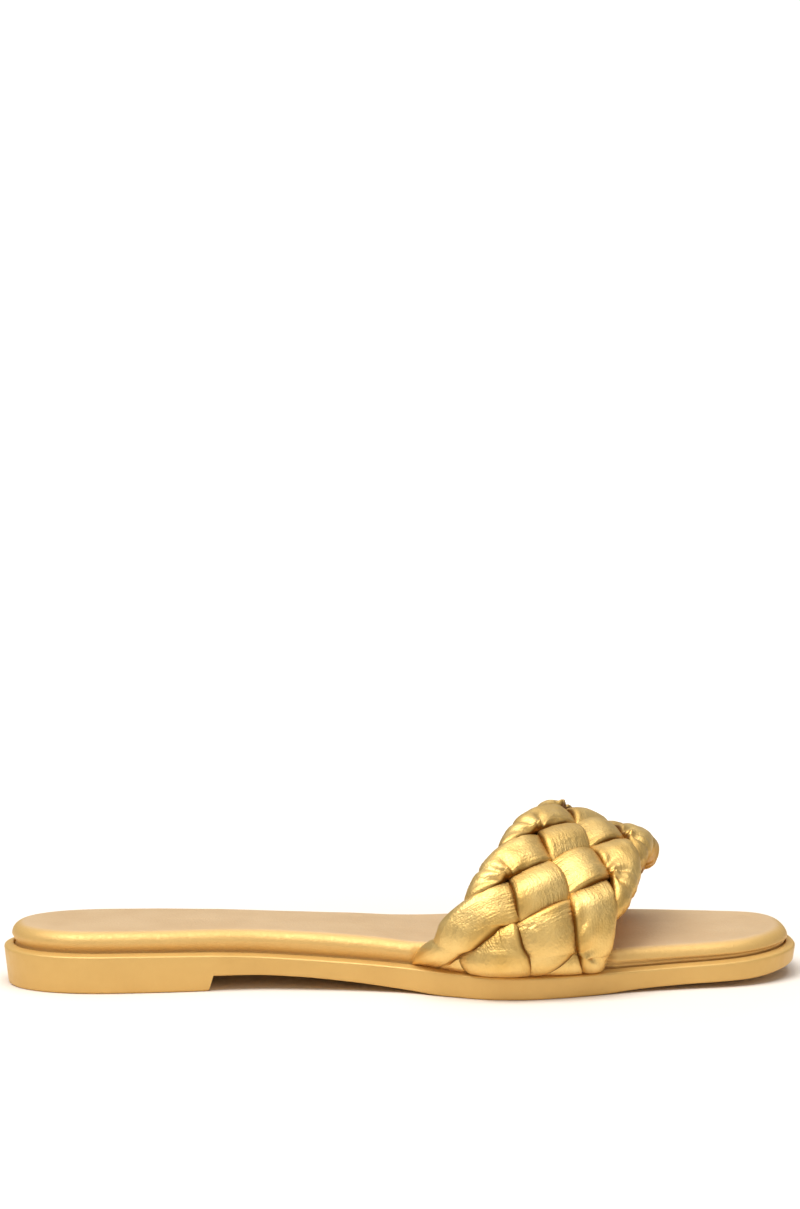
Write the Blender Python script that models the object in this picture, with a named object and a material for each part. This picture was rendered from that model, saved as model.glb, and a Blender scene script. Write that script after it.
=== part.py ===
# Braided flat sandal, right shoe.
# Heel to toe runs along +X, the outer (lateral) side is -Y, up is +Z, sizes are in metres.

import math

import bmesh
import bpy
import numpy as np

# Sole
SOLE_LENGTH = 0.2540
SOLE_WIDTH = 0.0900
HEEL_HEIGHT = 0.0121
HEEL_BREAST_PLACE = 0.2515
BREAST_DRAFT = 0.0005
WALL_DRAFT = 0.10
FOOT_EDGE_RADIUS = 0.0009
FOOT_EDGE_FACET = 0.3
RIM_WIDTH = 0.0030
RIM_SLOPE_RISE = 0.0007
RIM_EDGE_BREAK = 0.0007
RIM_EDGE_SETBACK = 0.00035
POCKET_EDGE_SHARE = 0.08
TRAY_DEPTH = 0.0018
HEEL_CAP_LENGTH = 0.0340
HEEL_CAP_POWER = 2.25
TOE_CAP_LENGTH = 0.0330
TOE_CAP_POWER = 2.45

# Footbed
FIT_GAP = 0.0003
BED_EDGE_RADIUS = 0.0042
BED_UNDER_BREAK = 0.0006
BED_CROWN = 0.0005
BED_CORE_DROP = 0.25

# Strap
STRAP_HEIGHT = 0.0500
STRAP_THICKNESS = 0.0044
STRAP_EDGE_THICKNESS = 0.0034
STRAP_BOW = 0.0012
STRAND_RELIEF = 0.0036
STRAND_COUNT = 5
BRAID_SKEW = 0.43
BRAID_SKEW_FADE = 0.55
BRAID_SKEW_POWER = 1.6
CROWN_SIDE_POWER = 2.6
CROWN_END_POWER = 4.0
CROWN_ROUNDNESS = 0.75
SCALLOP_DEPTH = 0.0016
TAB_THICKNESS = 0.0016
TAB_LENGTH = 0.0085
TAB_END_ROOM = 0.0010
TAB_POCKET_MARGIN = 0.0060
TAB_POCKET_RAMP = 0.0080
NOTCH_MARGIN = 0.0040
NOTCH_RAMP = 0.0050
NOTCH_EASE = 0.00022
WALL_EASE = 0.0001
RIM_CLEARANCE = 0.0005
BASE_LIFT = 0.0016
BASE_RELIEF_SHARE = 0.35
FOOT_TURN = 0.045
FOOT_STEPS = 4
EDGE_ROUND_SHARE = 0.16
SCALLOP_SHARE = 0.25
SCALLOP_FADE_TURN = 0.08
BOW_FADE_TURN = 0.16
UPRIGHT_TURN = 0.12
FOOT_REAR_LEAN = 0.0028
FOOT_FRONT_LEAN = 0.0008
SLOPE_STEP = 0.0001

# Facets
HEEL_CAP_STEPS = 9
TOE_CAP_STEPS = 11
REAR_STEPS = 17
FORE_STEPS = 31
FORE_START = 0.47
BED_ROUND_STEPS = 3
ARCH_STEPS = 48
BREADTH_STEPS = 26

# One row per cross section of the sole.
# place: share of SOLE_LENGTH from the heel
# lateral, medial: half widths, share of SOLE_WIDTH
# under, rim, bed: heights of the underside, rim and footbed top, share of HEEL_HEIGHT
SOLE_COLUMNS = ("place", "lateral", "medial", "under", "rim", "bed")
SOLE_ROWS = (
    (0.000, 0.290, 0.300, 0.401, 1.000, 1.612),
    (0.120, 0.290, 0.302, 0.401, 1.000, 1.612),
    (0.190, 0.284, 0.302, 0.401, 0.988, 1.603),
    (0.260, 0.267, 0.282, 0.401, 0.959, 1.595),
    (0.310, 0.256, 0.278, 0.393, 0.909, 1.562),
    (0.360, 0.273, 0.270, 0.355, 0.855, 1.521),
    (0.410, 0.298, 0.276, 0.273, 0.798, 1.467),
    (0.450, 0.326, 0.289, 0.190, 0.752, 1.413),
    (0.490, 0.364, 0.304, 0.091, 0.702, 1.339),
    (0.540, 0.449, 0.356, 0.008, 0.653, 1.252),
    (0.600, 0.529, 0.431, 0.000, 0.612, 1.190),
    (0.635, 0.540, 0.460, 0.000, 0.599, 1.169),
    (0.680, 0.518, 0.481, 0.000, 0.591, 1.157),
    (0.730, 0.473, 0.491, 0.008, 0.591, 1.149),
    (0.790, 0.416, 0.487, 0.083, 0.599, 1.149),
    (0.845, 0.382, 0.460, 0.128, 0.628, 1.157),
    (0.890, 0.364, 0.413, 0.153, 0.661, 1.182),
    (0.930, 0.351, 0.383, 0.178, 0.702, 1.211),
    (1.000, 0.317, 0.361, 0.347, 0.793, 1.298),
)

# One row per section of the strap's lining, from the lateral foot to the medial foot.
# turn: share of the way over the foot
# rear_x, front_x: share of SOLE_LENGTH
# rear_y, front_y: share of the sole's own half width there, lateral side below zero
# rear_z, front_z: share of STRAP_HEIGHT, above the ground
STRAP_COLUMNS = ("turn", "rear_x", "rear_y", "rear_z", "front_x", "front_y", "front_z")
STRAP_ROWS = (
    (0.12, 0.537, -0.845, 0.430, 0.752, -0.895, 0.380),
    (0.24, 0.567, -0.750, 0.600, 0.776, -0.750, 0.520),
    (0.36, 0.594, -0.525, 0.790, 0.798, -0.430, 0.640),
    (0.48, 0.632, -0.200, 0.925, 0.813, -0.030, 0.690),
    (0.58, 0.664, 0.140, 0.945, 0.826, 0.260, 0.650),
    (0.68, 0.670, 0.400, 0.880, 0.828, 0.490, 0.560),
    (0.79, 0.656, 0.670, 0.680, 0.810, 0.690, 0.450),
    (0.89, 0.630, 0.880, 0.460, 0.797, 0.870, 0.350),
)
# turn: share of the way over the foot, below zero and above one on the rim
# rows: count of weave rows from the lateral foot, on the strap's centre line
BRAID_COLUMNS = ("turn", "rows")
BRAID_ROWS = (
    (-0.045, -0.04),
    (0.000, 0.18),
    (0.120, 0.49),
    (0.500, 2.545),
    (0.890, 4.655),
    (1.000, 4.98),
    (1.045, 5.20),
)
LATERAL_FOOT_REAR = 0.502
LATERAL_FOOT_FRONT = 0.744
MEDIAL_FOOT_REAR = 0.605
MEDIAL_FOOT_FRONT = 0.790


def column(columns, rows, name):
    at = columns.index(name)
    return np.array([row[at] for row in rows])


def flow(places, values, wanted):
    """Smooth curve through a table, without overshoot."""
    places = np.asarray(places, float)
    values = np.asarray(values, float)
    wanted = np.clip(wanted, places[0], places[-1])
    step = np.diff(places)
    slope = np.diff(values) / step
    tangent = np.zeros(len(places))
    for i in range(1, len(places) - 1):
        if slope[i - 1] * slope[i] > 0:
            heavy = 2 * step[i] + step[i - 1]
            light = step[i] + 2 * step[i - 1]
            tangent[i] = (heavy + light) / (heavy / slope[i - 1] + light / slope[i])
    tangent[0] = slope[0]
    tangent[-1] = slope[-1]
    i = np.clip(np.searchsorted(places, wanted, side="right") - 1, 0, len(step) - 1)
    t = (wanted - places[i]) / step[i]
    start = (1 + 2 * t) * (1 - t) ** 2 * values[i] + t * (1 - t) ** 2 * step[i] * tangent[i]
    end = t * t * (3 - 2 * t) * values[i + 1] + t * t * (t - 1) * step[i] * tangent[i + 1]
    return start + end


def natural(places, values, wanted):
    """Catmull curve through a table."""
    tangent = np.gradient(values, places)
    i = np.clip(np.searchsorted(places, wanted, side="right") - 1, 0, len(places) - 2)
    step = places[i + 1] - places[i]
    t = (wanted - places[i]) / step
    start = (1 + 2 * t) * (1 - t) ** 2 * values[i] + t * (1 - t) ** 2 * step * tangent[i]
    end = t * t * (3 - 2 * t) * values[i + 1] + t * t * (t - 1) * step * tangent[i + 1]
    return start + end


def sole_value(name, x, size):
    places = column(SOLE_COLUMNS, SOLE_ROWS, "place") * SOLE_LENGTH
    return flow(places, column(SOLE_COLUMNS, SOLE_ROWS, name) * size, x)


def rim_height(x):
    return sole_value("rim", x, HEEL_HEIGHT)


def bed_height(x):
    return sole_value("bed", x, HEEL_HEIGHT)


def under_height(x):
    breast = HEEL_BREAST_PLACE * SOLE_LENGTH
    return np.where(x <= breast + BREAST_DRAFT / 2, 0.0, sole_value("under", x, HEEL_HEIGHT))


def floor_height(x):
    return rim_height(x) + RIM_SLOPE_RISE - TRAY_DEPTH


def half_width(x, side):
    name = "lateral" if side < 0 else "medial"
    wide = sole_value(name, x, SOLE_WIDTH)
    heel = np.clip((HEEL_CAP_LENGTH - x) / HEEL_CAP_LENGTH, 0, 1)
    toe = np.clip((x - SOLE_LENGTH + TOE_CAP_LENGTH) / TOE_CAP_LENGTH, 0, 1)
    heel = (1 - heel ** HEEL_CAP_POWER) ** (1 / HEEL_CAP_POWER)
    toe = (1 - toe ** TOE_CAP_POWER) ** (1 / TOE_CAP_POWER)
    return wide * heel * toe


def spine_offset(x):
    return (sole_value("medial", x, SOLE_WIDTH) - sole_value("lateral", x, SOLE_WIDTH)) / 2


def edge_y(x, side):
    """Sideways place of the sole's outer edge."""
    wide_lateral = half_width(x, -1)
    wide_medial = half_width(x, 1)
    shut = (wide_lateral + wide_medial) / 2
    return spine_offset(x) + side * shut


def side_stations():
    """Places along one side, close together round heel and toe."""
    turn = np.linspace(0, math.pi / 2, HEEL_CAP_STEPS + 1)
    heel = HEEL_CAP_LENGTH * (1 - np.cos(turn) ** (2 / HEEL_CAP_POWER))
    turn = np.linspace(0, math.pi / 2, TOE_CAP_STEPS + 1)
    toe = SOLE_LENGTH - TOE_CAP_LENGTH * (1 - np.sin(turn) ** (2 / TOE_CAP_POWER))
    breast = HEEL_BREAST_PLACE * SOLE_LENGTH
    fore = FORE_START * SOLE_LENGTH
    rear_part = np.linspace(heel[-1], fore, REAR_STEPS + 1)[1:-1]
    rear_part = rear_part[np.abs(rear_part - breast) > (fore - heel[-1]) / REAR_STEPS / 3]
    middle = np.concatenate([rear_part, np.linspace(fore, toe[0], FORE_STEPS + 1)[:-1]])
    middle = np.sort(np.concatenate([middle, [breast, breast + BREAST_DRAFT]]))
    return np.concatenate([heel, middle, toe])


def outline():
    """Closed outline of the sole: along the lateral side to the toe and back along the medial."""
    xs = side_stations()
    lateral = [(x, float(edge_y(x, -1))) for x in xs]
    medial = [(x, float(edge_y(x, 1))) for x in xs[-2:0:-1]]
    return np.array(lateral + medial)


def inward(points):
    """Unit normals of the outline, pointing into the sole."""
    along = np.roll(points, -1, axis=0) - np.roll(points, 1, axis=0)
    along /= np.linalg.norm(along, axis=1)[:, None]
    return np.stack([-along[:, 1], along[:, 0]], axis=1)


def loop(points, inset, share=1.0):
    """Outline moved in by a length, then drawn towards the spine by a share."""
    moved = points + inward(points) * np.asarray(inset).reshape(-1, 1)
    start = HEEL_CAP_LENGTH
    end = SOLE_LENGTH - TOE_CAP_LENGTH
    spine_x = np.clip(points[:, 0], start, end)
    spine = np.stack([spine_x, spine_offset(spine_x)], axis=1)
    place = spine_x + share * (points[:, 0] - spine_x)
    return spine + share * (moved - spine), place


def stack(points, layers):
    """Closed skin from loops; the first and the last one are drawn onto the spine."""
    mesh = bmesh.new()
    rings = []
    for inset, share, height in layers:
        flat, place = loop(points, inset, share)
        tall = height(place)
        rings.append([mesh.verts.new((p[0], p[1], z)) for p, z in zip(flat, tall)])
    count = len(points)
    for low, high in zip(rings, rings[1:]):
        for i in range(count):
            j = (i + 1) % count
            mesh.faces.new((low[i], low[j], high[j], high[i]))
    bmesh.ops.remove_doubles(mesh, verts=mesh.verts, dist=1e-6)
    bmesh.ops.dissolve_degenerate(mesh, dist=1e-7, edges=mesh.edges)
    drop_doubled_faces(mesh)
    bmesh.ops.recalc_face_normals(mesh, faces=mesh.faces)
    return mesh


def drop_doubled_faces(mesh):
    """Faces left with the same corners after welding go, both of them."""
    seen = {}
    for face in mesh.faces:
        seen.setdefault(frozenset(v.index for v in face.verts), []).append(face)
    twice = [face for faces in seen.values() if len(faces) > 1 for face in faces]
    if twice:
        bmesh.ops.delete(mesh, geom=twice, context="FACES_ONLY")


def ramp(x, start, end, margin, length):
    """One between start and end with a margin, falling to nothing over a length."""
    low = np.clip((x - (start - margin - length)) / length, 0, 1)
    high = np.clip(((end + margin + length) - x) / length, 0, 1)
    rise = np.minimum(low, high)
    return rise * rise * (3 - 2 * rise)


def foot_span(side):
    """Where the strap's foot starts and ends along the sole."""
    if side < 0:
        return LATERAL_FOOT_REAR * SOLE_LENGTH, LATERAL_FOOT_FRONT * SOLE_LENGTH
    return MEDIAL_FOOT_REAR * SOLE_LENGTH, MEDIAL_FOOT_FRONT * SOLE_LENGTH


def side_of(points):
    """-1 on the lateral half of the outline and 1 on the medial half."""
    count = len(side_stations())
    return np.where(np.arange(len(points)) < count, -1, 1)


def pocket_depth(x, side):
    start, end = foot_span(side)
    return (TAB_THICKNESS + FIT_GAP) * ramp(x, start, end, TAB_POCKET_MARGIN, TAB_POCKET_RAMP)


def notch_depth(x, side):
    start, end = foot_span(side)
    deep = TAB_THICKNESS + FIT_GAP + NOTCH_EASE
    return deep * ramp(x, start, end, NOTCH_MARGIN, NOTCH_RAMP)


def core_share():
    """Share of the outline left between the strap's tabs, where the sole is narrowest beside a foot."""
    reach = RIM_WIDTH + FIT_GAP + WALL_EASE + TAB_THICKNESS + TAB_LENGTH + TAB_END_ROOM
    ends = np.array(foot_span(-1) + foot_span(1))
    narrowest = np.min(edge_y(ends, 1) - edge_y(ends, -1)) / 2
    return 1 - reach / narrowest - POCKET_EDGE_SHARE


def build_outsole():
    core = core_share()
    points = outline()
    sides = side_of(points)
    tall = rim_height(points[:, 0]) - under_height(points[:, 0])
    draft = WALL_DRAFT * tall
    flush = np.zeros(len(points))
    facet = FOOT_EDGE_FACET * FOOT_EDGE_RADIUS

    def pocket_floor(place):
        return floor_height(place) - np.array([pocket_depth(x, s) for x, s in zip(place, sides)])

    layers = [
        (flush, 0.0, under_height),
        (flush, core, under_height),
        (draft + FOOT_EDGE_RADIUS, 1.0, under_height),
        (draft + facet, 1.0, lambda x: under_height(x) + facet),
        (draft, 1.0, lambda x: under_height(x) + FOOT_EDGE_RADIUS),
        (flush, 1.0, lambda x: rim_height(x) - RIM_EDGE_BREAK),
        (flush + RIM_EDGE_SETBACK, 1.0, rim_height),
        (flush + RIM_WIDTH, 1.0, lambda x: rim_height(x) + RIM_SLOPE_RISE),
        (flush + RIM_WIDTH, 1.0, pocket_floor),
        (flush, core + POCKET_EDGE_SHARE, pocket_floor),
        (flush, core, floor_height),
        (flush, 0.0, floor_height),
    ]
    return stack(points, layers)


def build_insole():
    core = core_share()
    points = outline()
    sides = side_of(points)
    notch = np.array([notch_depth(x, s) for x, s in zip(points[:, 0], sides)])
    edge = RIM_WIDTH + FIT_GAP + notch

    def bed_under(x):
        return floor_height(x) + FIT_GAP

    layers = [
        (edge, 0.0, bed_under),
        (edge, core, bed_under),
        (edge + BED_UNDER_BREAK, 1.0, bed_under),
        (edge, 1.0, lambda x: bed_under(x) + BED_UNDER_BREAK),
    ]
    for i in range(BED_ROUND_STEPS + 1):
        turn = math.pi / 2 * i / BED_ROUND_STEPS
        back = BED_EDGE_RADIUS * (1 - math.cos(turn))
        drop = BED_EDGE_RADIUS * (1 - math.sin(turn)) + BED_CROWN
        layers.append((edge + back, 1.0, lambda x, drop=drop: bed_height(x) - drop))
    layers.append((edge, core, lambda x: bed_height(x) - BED_CORE_DROP * BED_CROWN))
    layers.append((edge, 0.0, bed_height))
    return stack(points, layers)


def braid_height(along, across):
    """Height of the woven strands, 0 in the creases to 1 on the crown of each crossing."""
    rising = STRAND_COUNT * (across + 1) / 4 - along
    falling = STRAND_COUNT * (3 - across) / 4 - along
    off_rising = np.abs(2 * (rising - np.round(rising)))
    off_falling = np.abs(2 * (falling - np.round(falling)))
    column_at = np.round(rising) - np.round(falling)
    rising_over = column_at % 2 == 0
    over = np.where(rising_over, off_rising, off_falling)
    under = np.where(rising_over, off_falling, off_rising)
    crown = (1 - over ** CROWN_SIDE_POWER) ** CROWN_ROUNDNESS
    return crown * (1 - under ** CROWN_END_POWER) ** CROWN_ROUNDNESS


def braid_along(turn, across):
    """Count of weave rows from the lateral foot."""
    skew = BRAID_SKEW - BRAID_SKEW_FADE * np.maximum(turn, 0) ** BRAID_SKEW_POWER
    turns = column(BRAID_COLUMNS, BRAID_ROWS, "turn")
    return flow(turns, column(BRAID_COLUMNS, BRAID_ROWS, "rows"), turn) + skew * across


def strap_thickness(relief, across):
    """Lining face to outer face, thinner towards both rolled edges."""
    roll = np.clip((1 - np.abs(across)) / EDGE_ROUND_SHARE, 0, 1)
    roll = np.sqrt(np.clip(1 - (1 - roll) ** 2, 0, 1))
    middle = STRAP_THICKNESS + STRAND_RELIEF * relief
    return STRAP_EDGE_THICKNESS + (middle - STRAP_EDGE_THICKNESS) * roll


def foot_rows(side, across):
    """Tab under the footbed, wall between footbed and rim, and the rows over the rim."""
    start, end = foot_span(side)
    mix = (across + 1) / 2

    def lines(x):
        edge = edge_y(x, side)
        slope = (edge_y(x + SLOPE_STEP, side) - edge_y(x - SLOPE_STEP, side)) / (2 * SLOPE_STEP)
        square = np.sqrt(1 + slope ** 2)
        wall = edge - side * (RIM_WIDTH + FIT_GAP + WALL_EASE) * square
        return edge, wall, wall - side * TAB_THICKNESS * square

    low = start + (end - start) * mix
    edge, wall, bed = lines(low)
    rim = rim_height(low)
    top = rim + RIM_SLOPE_RISE
    deep = floor_height(low) - TAB_THICKNESS
    inner = [
        (low, bed - side * TAB_LENGTH, deep + TAB_THICKNESS),
        (low, bed, deep + TAB_THICKNESS),
        (low, bed, top + RIM_CLEARANCE + 2 * FIT_GAP),
    ]
    outer = [
        (low, bed - side * TAB_LENGTH, deep),
        (low, wall, deep),
        (low, wall, top + RIM_CLEARANCE),
    ]
    high = start + FOOT_REAR_LEAN + (end - start - FOOT_REAR_LEAN + FOOT_FRONT_LEAN) * mix
    for i in range(FOOT_STEPS + 1):
        part = i / FOOT_STEPS
        x = low + (high - low) * part
        edge, wall, bed = lines(x)
        foot = rim_height(x) + RIM_CLEARANCE
        head = bed_height(x) + FIT_GAP
        turn = np.full(len(across), -FOOT_TURN * (1 - part))
        if side > 0:
            turn = 1 - turn
        relief = braid_height(braid_along(turn, across), across)
        relief = relief * (BASE_RELIEF_SHARE + (1 - BASE_RELIEF_SHARE) * min(1, 2 * part))
        thick = strap_thickness(relief, across)
        inner.append((x, bed, foot + BASE_LIFT + (head - foot - BASE_LIFT) * part))
        if i == 0:
            outer.append((x, edge - side * FIT_GAP, foot))
        else:
            outer.append((x, bed + side * thick, foot + BASE_LIFT + (head - foot - BASE_LIFT) * part))
    return [np.stack(p, axis=1) for p in inner], [np.stack(p, axis=1) for p in outer]


def strap_rows():
    """Lining and outer face of the strap as two grids of points."""
    across = np.linspace(-1, 1, BREADTH_STEPS + 1)
    mix = (across + 1) / 2
    lateral_in, lateral_out = foot_rows(-1, across)
    medial_in, medial_out = foot_rows(1, across)

    turns = np.linspace(0, 1, ARCH_STEPS + 1)
    first = lateral_in[-1]
    last = medial_in[-1]
    knots = np.concatenate([[0], column(STRAP_COLUMNS, STRAP_ROWS, "turn"), [1]])

    def path(name, size, start, end):
        values = column(STRAP_COLUMNS, STRAP_ROWS, name) * size
        return natural(knots, np.concatenate([[start], values, [end]]), turns)[:, None]

    def share(row, at, side):
        return row[at, 1] / sole_value("lateral" if side < 0 else "medial", row[at, 0], SOLE_WIDTH)

    rear_x = path("rear_x", SOLE_LENGTH, first[0, 0], last[0, 0])
    front_x = path("front_x", SOLE_LENGTH, first[-1, 0], last[-1, 0])
    rear_share = path("rear_y", 1.0, share(first, 0, -1), share(last, 0, 1))
    front_share = path("front_y", 1.0, share(first, -1, -1), share(last, -1, 1))
    rear_z = path("rear_z", STRAP_HEIGHT, first[0, 2], last[0, 2])
    front_z = path("front_z", STRAP_HEIGHT, first[-1, 2], last[-1, 2])
    x = rear_x * (1 - mix) + front_x * mix
    breadth = rear_share * (1 - mix) + front_share * mix
    lateral_wide = sole_value("lateral", x, SOLE_WIDTH)
    medial_wide = sole_value("medial", x, SOLE_WIDTH)
    wide = np.where(breadth < 0, lateral_wide, medial_wide)
    full = np.stack([x, breadth * wide, rear_z * (1 - mix) + front_z * mix], axis=2)
    near_first = np.clip(1 - turns / UPRIGHT_TURN, 0, 1)[:, None, None]
    near_last = np.clip(1 - (1 - turns) / UPRIGHT_TURN, 0, 1)[:, None, None]
    full = full + near_first * (first - full[0]) + near_last * (last - full[-1])
    lengthwise = np.gradient(full, axis=0)
    breadthwise = np.gradient(full, axis=1)
    normal = np.cross(breadthwise, lengthwise)
    normal /= np.linalg.norm(normal, axis=2)[:, :, None]
    middle = normal[len(normal) // 2, len(across) // 2]
    if middle[2] < 0:
        normal = -normal
    grid = full[1:-1]
    normal = normal[1:-1]
    turns = turns[1:-1]
    upright = np.clip(1 - np.minimum(turns, 1 - turns) / UPRIGHT_TURN, 0, 1)[:, None, None]
    sideways = np.zeros_like(normal)
    sideways[:, :, 1] = np.where(turns < 0.5, -1, 1)[:, None]
    normal = normal * (1 - upright) + sideways * upright
    normal /= np.linalg.norm(normal, axis=2)[:, :, None]
    rise = np.clip(np.minimum(turns, 1 - turns) / BOW_FADE_TURN, 0, 1)
    bow = STRAP_BOW * np.sin(rise * math.pi / 2)[:, None] * (1 - across ** 2)
    grid = grid + normal * bow[:, :, None]

    along = braid_along(turns[:, None], across[None, :])
    thick = strap_thickness(braid_height(along, across[None, :]), across)
    face = grid + normal * thick[:, :, None]

    wave = 0.5 - 0.5 * np.cos(2 * math.pi * (along - 0.5))
    lean = breadthwise[1:-1] / np.linalg.norm(breadthwise[1:-1], axis=2)[:, :, None]
    reach = np.clip((np.abs(across) - 1 + SCALLOP_SHARE) / SCALLOP_SHARE, 0, 1)
    fade = np.clip(np.minimum(turns, 1 - turns) / SCALLOP_FADE_TURN, 0, 1)
    pull = -np.sign(across) * reach * wave * SCALLOP_DEPTH * fade[:, None]
    grid = grid + lean * pull[:, :, None]
    face = face + lean * pull[:, :, None]

    lining = lateral_in + list(grid) + medial_in[::-1]
    outer = lateral_out + list(face) + medial_out[::-1]
    return np.array(lining), np.array(outer)


def build_upper():
    lining, outer = strap_rows()
    mesh = bmesh.new()
    inner = [[mesh.verts.new(p) for p in row] for row in lining]
    face = [[mesh.verts.new(p) for p in row] for row in outer]
    rows = len(inner)
    width = len(inner[0])
    for r in range(rows - 1):
        for c in range(width - 1):
            mesh.faces.new((inner[r][c], inner[r][c + 1], inner[r + 1][c + 1], inner[r + 1][c]))
            mesh.faces.new((face[r][c], face[r + 1][c], face[r + 1][c + 1], face[r][c + 1]))
    for r in range(rows - 1):
        mesh.faces.new((inner[r][0], inner[r + 1][0], face[r + 1][0], face[r][0]))
        mesh.faces.new((inner[r][-1], face[r][-1], face[r + 1][-1], inner[r + 1][-1]))
    for c in range(width - 1):
        mesh.faces.new((inner[0][c], face[0][c], face[0][c + 1], inner[0][c + 1]))
        mesh.faces.new((inner[-1][c], inner[-1][c + 1], face[-1][c + 1], face[-1][c]))
    bmesh.ops.recalc_face_normals(mesh, faces=mesh.faces)
    return mesh


def make_material(name, colour, roughness, metallic):
    material = bpy.data.materials.new(name)
    material.use_nodes = True
    shader = material.node_tree.nodes["Principled BSDF"]
    shader.inputs["Base Color"].default_value = (*colour, 1.0)
    shader.inputs["Roughness"].default_value = roughness
    shader.inputs["Metallic"].default_value = metallic
    return material


def place(name, mesh, material):
    centre_x = SOLE_LENGTH / 2
    xs = outline()
    centre_y = (xs[:, 1].min() + xs[:, 1].max()) / 2
    bmesh.ops.translate(mesh, verts=mesh.verts, vec=(-centre_x, -centre_y, 0))
    bmesh.ops.triangulate(mesh, faces=mesh.faces)
    data = bpy.data.meshes.new(name)
    mesh.to_mesh(data)
    mesh.free()
    data.materials.append(material)
    data.polygons.foreach_set("use_smooth", [True] * len(data.polygons))
    thing = bpy.data.objects.new(name, data)
    bpy.context.scene.collection.objects.link(thing)
    return thing


def main():
    for thing in list(bpy.data.objects):
        bpy.data.objects.remove(thing, do_unlink=True)
    place("outsole", build_outsole(), make_material("sole_rubber", (0.75, 0.48, 0.16), 0.45, 0.25))
    place("insole", build_insole(), make_material("footbed_leather", (0.78, 0.56, 0.30), 0.40, 0.5))
    place("upper", build_upper(), make_material("strap_leather", (0.83, 0.62, 0.22), 0.34, 0.7))


main()
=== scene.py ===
# Braided flat sandal, right shoe: the looks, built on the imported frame.
# Heel to toe runs along +X, the outer side is -Y and nearest the camera, up is +Z, sizes are in metres.

import math

import bmesh
import bpy
import numpy as np
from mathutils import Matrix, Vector


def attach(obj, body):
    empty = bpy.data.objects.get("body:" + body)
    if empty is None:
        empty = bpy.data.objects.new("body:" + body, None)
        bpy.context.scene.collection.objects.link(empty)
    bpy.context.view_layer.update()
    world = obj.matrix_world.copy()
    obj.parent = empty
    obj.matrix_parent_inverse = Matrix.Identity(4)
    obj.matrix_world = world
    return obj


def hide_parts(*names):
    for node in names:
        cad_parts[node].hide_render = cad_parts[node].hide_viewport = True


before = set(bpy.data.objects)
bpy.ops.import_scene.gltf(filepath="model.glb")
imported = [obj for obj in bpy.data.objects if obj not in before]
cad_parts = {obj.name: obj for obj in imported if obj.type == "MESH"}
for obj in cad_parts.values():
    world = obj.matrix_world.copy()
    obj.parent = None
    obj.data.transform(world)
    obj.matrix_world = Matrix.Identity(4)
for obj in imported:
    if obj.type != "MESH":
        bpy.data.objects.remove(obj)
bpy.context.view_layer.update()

# Sole: sizes shared by footbed, sole and strap.
# rows: place from the heel as a share of the length, outer and inner half width as shares of the width,
# then underside, rim and footbed top as shares of the heel's height
sole = {
    "length": 0.2540,
    "width": 0.0900,
    "heelHeight": 0.0121,
    "heelCap": (0.0340, 2.25),  # length and roundness of the rounded end
    "toeCap": (0.0330, 2.45),
    "breast": 0.2515,  # front face of the heel, share of the length
    "breastStep": 0.0006,
    "rimWidth": 0.0030,
    "rimRise": 0.0007,
    "spineEnd": 0.040,  # inner rings shrink to a line that stops this far from heel and toe
    "outlineSteps": 900,
    "rows": (
        (0.000, 0.290, 0.300, 0.401, 1.000, 1.612),
        (0.120, 0.290, 0.302, 0.401, 1.000, 1.612),
        (0.190, 0.284, 0.302, 0.401, 0.988, 1.603),
        (0.260, 0.267, 0.282, 0.401, 0.959, 1.595),
        (0.310, 0.256, 0.278, 0.393, 0.909, 1.562),
        (0.360, 0.273, 0.270, 0.355, 0.855, 1.521),
        (0.410, 0.298, 0.276, 0.273, 0.798, 1.467),
        (0.450, 0.326, 0.289, 0.190, 0.752, 1.413),
        (0.490, 0.364, 0.304, 0.091, 0.702, 1.339),
        (0.540, 0.449, 0.356, 0.008, 0.653, 1.252),
        (0.600, 0.529, 0.431, 0.000, 0.612, 1.190),
        (0.635, 0.540, 0.460, 0.000, 0.599, 1.169),
        (0.680, 0.518, 0.481, 0.000, 0.591, 1.157),
        (0.730, 0.473, 0.491, 0.008, 0.591, 1.149),
        (0.790, 0.416, 0.487, 0.083, 0.599, 1.149),
        (0.845, 0.382, 0.460, 0.128, 0.628, 1.157),
        (0.890, 0.364, 0.413, 0.153, 0.661, 1.182),
        (0.930, 0.351, 0.383, 0.178, 0.702, 1.211),
        (1.000, 0.317, 0.361, 0.347, 0.793, 1.298),
    ),
}
soleColumn = {"outer": 1, "inner": 2, "under": 3, "rim": 4, "bed": 5}


def table(rows, at):
    return np.array([row[at] for row in rows], float)


def smooth(t):
    t = np.clip(t, 0, 1)
    return t * t * (3 - 2 * t)


def falling(value, end, border):
    # 1 for low values, 0 from the end on, with a smooth border before it
    return smooth((end - value) / border)


def quarterRound(t):
    # rises from 0 to 1 like a quarter of a circle
    t = np.clip(t, 0, 1)
    return np.sqrt(np.clip(1 - (1 - t) ** 2, 0, 1))


def flow(places, values, wanted):
    # monotone cubic through a table
    wanted = np.clip(wanted, places[0], places[-1])
    step = np.diff(places)
    slope = np.diff(values) / step
    tangent = np.zeros(len(places))
    for i in range(1, len(places) - 1):
        if slope[i - 1] * slope[i] > 0:
            heavy = 2 * step[i] + step[i - 1]
            light = step[i] + 2 * step[i - 1]
            tangent[i] = (heavy + light) / (heavy / slope[i - 1] + light / slope[i])
    tangent[0] = slope[0]
    tangent[-1] = slope[-1]
    return hermite(places, values, tangent, wanted)


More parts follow.
